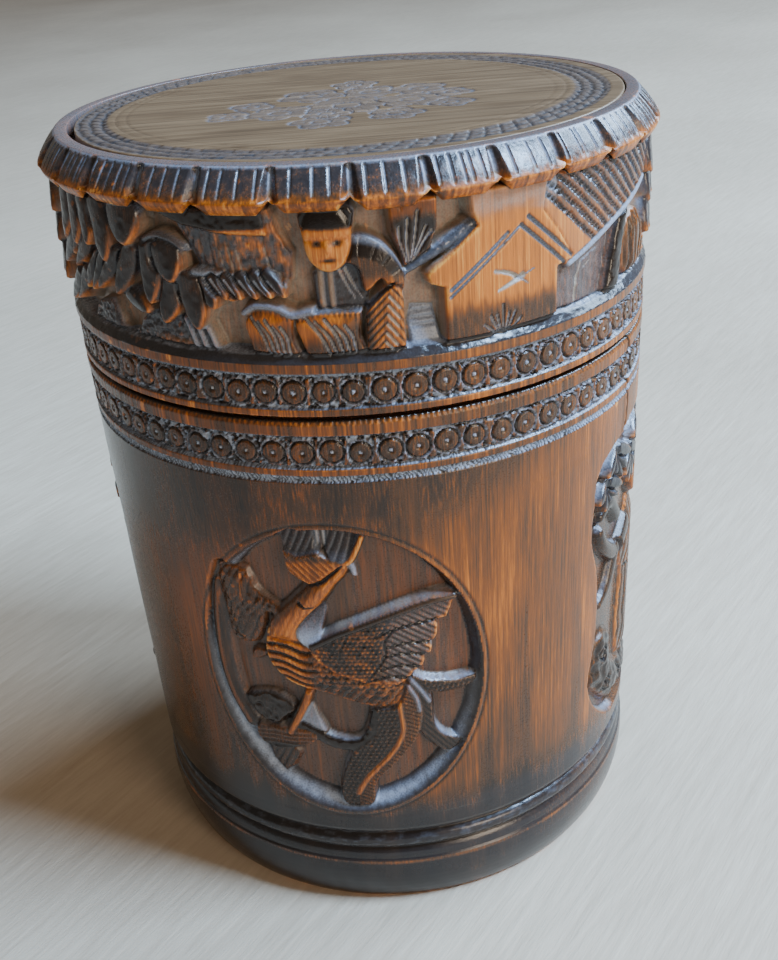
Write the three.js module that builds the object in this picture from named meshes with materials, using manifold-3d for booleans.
// Carved bamboo brush pot with a lift-off lid. Millimetres, +Z up.
// The origin is the centre of the foot's underside, on the axis of the culm.
// Angles go round that axis from the front (-Y) towards the right (+X), in degrees.
//
// Pot and lid are two sawn lengths of one thick culm. A collar glued in the pot's mouth keeps the
// lid in place, a panel let into the foot closes the pot, and a thinner one closes the lid.

import * as THREE from "three";
import { mergeVertices } from "three/addons/utils/BufferGeometryUtils.js";
import Module from "manifold-3d";

const wasm = await Module();
wasm.setup();

// ---- Driving dimensions ----

const HEIGHT = 165; // from the foot to the lid's top
const SEAM_Z = 121; // the saw cut between pot and lid
const SEAM_GAP = 0.3; // open joint between them with the lid on
const GLUE_GAP = 0.3; // room round each glued piece
const SEGMENTS = 60; // facets round the culm, two for each tab of the fringe

const BORE_R = 50.5; // inside of the culm
const SEAM_R = 60.2; // outside of the culm at the saw cut
const WAIST_R = 58.25; // outside of the culm just above the foot
const WAIST_Z = 20.7;
const FOOT_R = 56.4; // the foot's underside
const FOOT_TOP_R = 58.4;
const FOOT_TOP_Z = 12.9;
const FOOT_BULGE = 0.8; // how far the foot swells outside a straight cone
const FOOT_STEPS = 4;

const BASE_R = 52.7; // panel let into the foot
const BASE_FROM_Z = 1;
const BASE_THICKNESS = 4;

const COLLAR_WALL = 3; // ring glued in the mouth
const COLLAR_FROM_Z = 107;
const COLLAR_TO_Z = 126;
const COLLAR_PLAY = 0.6; // all round between the collar's lip and the lid

const BEAD_BAND_DEPTH = 0.8; // sunk band that carries a row of carved rings

const FRIEZE_FROM_Z = 133; // the lid's carved scene
const FRIEZE_TO_Z = 157.7;
const FRIEZE_GROUND_R = 56.3; // cut-back ground behind the scene
const FRIEZE_FACE_R = 60.4; // uncut face that the carved masses keep

const FRINGE_R = 62.3; // widest line of the overhanging fringe
const FRINGE_Z = 159.6;
const TABS = 30;
const TAB_PHASE = -1; // the first gap between two tabs
const TAB_GAP_BOTTOM = 3.4; // a gap's width at the fringe's lower edge
const TAB_GAP_TOP = 1;

const LID_EDGE_R = 58.2;
const REBATE_R = 55.6; // seat of the lid's panel
const PANEL_R = 54.7;
const PANEL_THICKNESS = 3.5;
const PANEL_SHIFT = 0.6; // the shrunk panel sits to the right, which opens a gap at its left

const MEDALLION_ANGLES = [-11, 169]; // oval panels with a bird
const MEDALLION_Z = 62.8;
const MEDALLION_HALF = [29.5, 35.3]; // half width and half height
const MEDALLION_DEPTH = 3.2;
const SIDE_ANGLES = [78, -102]; // upright panels with a standing figure
const SIDE_HALF = [27, 35];
const SIDE_CORNER_R = 18;

// ---- Solids ----

// The outside radius of the plain culm at height z.
const culmRadius = (z) =>
  THREE.MathUtils.mapLinear(z, WAIST_Z, SEAM_Z, WAIST_R, SEAM_R);

function solidFrom(geometry) {
  const bare = geometry.clone();
  bare.deleteAttribute("normal");
  bare.deleteAttribute("uv");
  const merged = mergeVertices(bare, 1e-4);
  const mesh = new wasm.Mesh({
    numProp: 3,
    vertProperties: merged.attributes.position.array,
    triVerts: new Uint32Array(merged.index.array),
  });
  return new wasm.Manifold(mesh);
}

function geometryFrom(solid) {
  const { vertProperties, triVerts } = solid.getMesh();
  const geometry = new THREE.BufferGeometry();
  geometry.setAttribute("position", new THREE.BufferAttribute(vertProperties, 3));
  geometry.setIndex(new THREE.BufferAttribute(triVerts, 1));
  const faceted = geometry.toNonIndexed();
  faceted.computeVertexNormals();
  return faceted;
}

// A ring turned about the culm's axis. The profile [radius, z] runs anticlockwise: up the outside.
function turned(profile) {
  const points = [...profile, profile[0]].map(([r, z]) => new THREE.Vector2(r, z));
  return new THREE.LatheGeometry(points, SEGMENTS).rotateX(Math.PI / 2);
}

const ring = (innerR, outerR, fromZ, toZ) =>
  turned([[innerR, fromZ], [outerR, fromZ], [outerR, toZ], [innerR, toZ]]);

// A flat outline [across, z] pushed straight out from the axis at an angle, as a carver sets it out.
function radialPrism(outline, angle) {
  const shape = new THREE.Shape(outline.map(([x, z]) => new THREE.Vector2(x, z)));
  const prism = new THREE.ExtrudeGeometry(shape, { depth: 2 * FRINGE_R, bevelEnabled: false });
  const turn = THREE.MathUtils.degToRad(angle);
  const across = new THREE.Vector3(Math.cos(turn), Math.sin(turn), 0);
  const out = new THREE.Vector3(Math.sin(turn), -Math.cos(turn), 0);
  return prism.applyMatrix4(new THREE.Matrix4().makeBasis(across, new THREE.Vector3(0, 0, 1), out));
}

// The part of such a prism between two radii: a carved mass, or a pocket to cut.
function carved(outline, angle, innerR, outerR) {
  const heights = outline.map(([, z]) => z);
  const band = ring(innerR, outerR, Math.min(...heights) - 1, Math.max(...heights) + 1);
  return solidFrom(radialPrism(outline, angle)).intersect(solidFrom(band));
}

// ---- Outlines of the carving, [across, z] ----

function ovalOutline([halfWidth, halfHeight], centreZ, points = 32) {
  const oval = new THREE.EllipseCurve(0, centreZ, halfWidth, halfHeight);
  return oval.getPoints(points).slice(0, -1).map((p) => [p.x, p.y]);
}

function roundedOutline([halfWidth, halfHeight], centreZ, corner) {
  const shape = new THREE.Shape();
  const quarter = Math.PI / 2;
  const x = halfWidth - corner;
  const y = halfHeight - corner;
  shape.absarc(x, centreZ + y, corner, 0, quarter);
  shape.absarc(-x, centreZ + y, corner, quarter, 2 * quarter);
  shape.absarc(-x, centreZ - y, corner, 2 * quarter, 3 * quarter);
  shape.absarc(x, centreZ - y, corner, 3 * quarter, 4 * quarter);
  return shape.getPoints(5).slice(0, -1).map((p) => [p.x, p.y]);
}

const BIRD = [
  [-8, 96], [-8, 90], [-4.5, 85.5], [-10, 80], [-15, 73], [-14.5, 65], [-9, 60], [-2, 60], [7, 56],
  [13, 60], [17, 65], [20, 75], [25, 78], [24, 81], [16, 80.5], [3, 76], [-2, 73], [-8, 73],
  [-4, 80], [3, 88], [7, 96],
];
const BIRD_TAIL = [
  [13, 59], [16, 55], [16, 48], [12, 41], [4, 31], [-2, 31], [-1, 38], [6, 44], [10, 50], [11, 56],
];
const PERCH = [[-19, 47], [-12, 49], [-7, 48], [-7, 45], [-13, 42.5], [-19, 44]];

const PINE_TOP = [
  [-20, 84], [-22, 78], [-15, 75], [-6, 79], [2, 76], [12, 79], [20, 76], [21, 84], [12, 92],
  [0, 95], [-12, 92],
];
const STANDING_FIGURE = [
  [-10, 32], [10, 32], [8, 46], [11, 58], [6, 64], [4, 73], [-4, 73], [-6, 64], [-12, 57], [-8, 46],
];

// The scene on the lid: each mass has the angle that it is set out from.
const HOUSE_GABLE = [
  [-12, 133], [-12, 143], [-15, 145], [-6, 152.5], [-7, 158], [9, 158], [14, 150], [10, 142],
  [10, 133],
];
const HOUSE_ROOF = [[-16, 158], [-10, 150], [-14, 142.5], [4, 147.5], [14, 150], [14, 158]];
const HOUSE_SIDE = [[-13, 133], [-13, 142], [6, 148], [6, 133]];
const HILL_ROOF = [[-10, 158], [-9, 149], [-3, 146], [11, 145.5], [10, 153], [12, 158]];
const KNEELING_FIGURE = [
  [-9, 158], [-9, 151], [-5, 148], [-4, 133], [6, 133], [8, 146], [5, 152], [-1, 153], [-1, 158],
];
const MOUND = [[-5, 133], [-5.5, 138], [-2, 141.5], [4, 141], [5, 133]];
const CLOUD_TREE = [
  [-15, 137], [-17, 145], [-13, 155], [-5, 157.5], [4, 155], [11, 148], [15, 142], [14, 135],
  [9, 139], [3, 135], [-3, 140], [-9, 135],
];
const SCENE = [
  [CLOUD_TREE, -64],
  [CLOUD_TREE, -38],
  [HILL_ROOF, -22],
  [MOUND, -16],
  [MOUND, -5],
  [KNEELING_FIGURE, 0],
  [HOUSE_GABLE, 25],
  [HOUSE_ROOF, 49],
  [HOUSE_SIDE, 47],
  [CLOUD_TREE, 82],
];
const SCENE_TURNS = [0, 180]; // the back repeats the front

// ---- Pieces ----

function footCurve() {
  const points = [];
  for (let i = 0; i <= FOOT_STEPS; i += 1) {
    const t = i / FOOT_STEPS;
    const cone = THREE.MathUtils.lerp(FOOT_R, FOOT_TOP_R, t);
    points.push([cone + 4 * FOOT_BULGE * t * (1 - t), FOOT_TOP_Z * t]);
  }
  return points;
}

function potWall() {
  const rimZ = SEAM_Z - SEAM_GAP / 2;
  const seatZ = BASE_FROM_Z + BASE_THICKNESS + GLUE_GAP;
  const bandR = SEAM_R - BEAD_BAND_DEPTH;
  const profile = [
    ...footCurve(),
    [57.6, 13.4], [58.4, 14.6], [57.5, 16.6], [58.3, 18.3], [57.6, 20], // turned mouldings
    [WAIST_R, WAIST_Z],
    [culmRadius(109.8), 109.8],
    [59.5, 110.3], [60.1, 110.9], [60.1, 112], // thin fillet under the rings
    [bandR, 112.3], [bandR, 117.5],
    [SEAM_R, 117.8], [SEAM_R, 120.2], [SEAM_R - 0.5, rimZ],
    [BORE_R, rimZ],
    [BORE_R, seatZ],
    [BASE_R + GLUE_GAP, seatZ],
    [BASE_R + GLUE_GAP, 0],
  ];
  let wall = solidFrom(turned(profile));
  const floorR = culmRadius(MEDALLION_Z) - MEDALLION_DEPTH;
  const oval = ovalOutline(MEDALLION_HALF, MEDALLION_Z);
  const upright = roundedOutline(SIDE_HALF, MEDALLION_Z, SIDE_CORNER_R);
  const panels = [
    ...MEDALLION_ANGLES.map((angle) => [angle, oval, [BIRD, BIRD_TAIL, PERCH]]),
    ...SIDE_ANGLES.map((angle) => [angle, upright, [PINE_TOP, STANDING_FIGURE]]),
  ];
  for (const [angle, outline, masses] of panels) {
    wall = wall.subtract(carved(outline, angle, floorR, SEAM_R + 1));
    for (const mass of masses) {
      wall = wall.add(carved(mass, angle, floorR - 1, culmRadius(MEDALLION_Z) - 0.3));
    }
  }
  return geometryFrom(wall);
}

function basePanel() {
  return ring(0, BASE_R, BASE_FROM_Z, BASE_FROM_Z + BASE_THICKNESS);
}

function mouthCollar() {
  const gluedR = BORE_R - GLUE_GAP;
  const lipR = BORE_R - COLLAR_PLAY;
  const innerR = gluedR - COLLAR_WALL;
  return turned([
    [innerR, COLLAR_FROM_Z],
    [gluedR, COLLAR_FROM_Z],
    [gluedR, SEAM_Z - 1],
    [lipR, SEAM_Z],
    [lipR, COLLAR_TO_Z - 1],
    [lipR - 1, COLLAR_TO_Z],
    [innerR, COLLAR_TO_Z],
  ]);
}

// A gap between two tabs of the fringe: wide at the lower edge and narrow above it.
function tabGap(angle) {
  const outline = [
    [-TAB_GAP_BOTTOM / 2, FRIEZE_TO_Z - 1],
    [TAB_GAP_BOTTOM / 2, FRIEZE_TO_Z - 1],
    [TAB_GAP_TOP / 2, FRINGE_Z + 0.8],
    [-TAB_GAP_TOP / 2, FRINGE_Z + 0.8],
  ];
  return carved(outline, angle, FRIEZE_GROUND_R + 0.5, FRINGE_R + 1);
}

function lidWall() {
  const cutZ = SEAM_Z + SEAM_GAP / 2;
  const bandR = SEAM_R - BEAD_BAND_DEPTH;
  const seatZ = HEIGHT - PANEL_THICKNESS - GLUE_GAP;
  const profile = [
    [BORE_R, cutZ],
    [SEAM_R, cutZ], [SEAM_R, 122.9],
    [bandR, 123.2], [bandR, 130.4],
    [SEAM_R + 0.3, 130.7], [SEAM_R + 0.3, FRIEZE_FROM_Z],
    [FRIEZE_GROUND_R, FRIEZE_FROM_Z], [FRIEZE_GROUND_R, FRIEZE_TO_Z],
    [FRINGE_R - 1.3, FRIEZE_TO_Z], [FRINGE_R, FRINGE_Z],
    [LID_EDGE_R, HEIGHT],
    [REBATE_R, HEIGHT], [REBATE_R, seatZ],
    [BORE_R, seatZ],
  ];
  let wall = solidFrom(turned(profile));
  for (let tab = 0; tab < TABS; tab += 1) {
    wall = wall.subtract(tabGap(TAB_PHASE + (360 / TABS) * tab));
  }
  for (const turn of SCENE_TURNS) {
    for (const [outline, angle] of SCENE) {
      const mass = carved(outline, angle + turn, FRIEZE_GROUND_R - 1, FRIEZE_FACE_R);
      const inFrieze = ring(BORE_R + 1, FRINGE_R, FRIEZE_FROM_Z - 1, FRIEZE_TO_Z + 0.2);
      wall = wall.add(mass.intersect(solidFrom(inFrieze)));
    }
  }
  return geometryFrom(wall);
}

function lidPanel() {
  const panel = ring(0, PANEL_R, HEIGHT - PANEL_THICKNESS, HEIGHT);
  return panel.translate(PANEL_SHIFT, 0, 0);
}

// ---- Assembly ----

const bamboo = (color, roughness) =>
  new THREE.MeshStandardMaterial({ color, roughness, metalness: 0 });
const lacquered = bamboo(0x5a3018, 0.38);
const lacqueredLid = bamboo(0x4c2a18, 0.4);
const topPanelFinish = bamboo(0x6e5238, 0.5);
const rawBamboo = bamboo(0xb98d52, 0.65);
const baseFinish = bamboo(0x4a2c1a, 0.6);

const pieces = [
  ["body_wall", potWall(), lacquered],
  ["base_panel", basePanel(), baseFinish],
  ["mouth_collar", mouthCollar(), rawBamboo],
  ["lid_wall", lidWall(), lacqueredLid],
  ["lid_top_panel", lidPanel(), topPanelFinish],
];

const brushPot = new THREE.Group();
for (const [name, geometry, material] of pieces) {
  const mesh = new THREE.Mesh(geometry, material);
  mesh.name = name;
  brushPot.add(mesh);
}

export default brushPot;
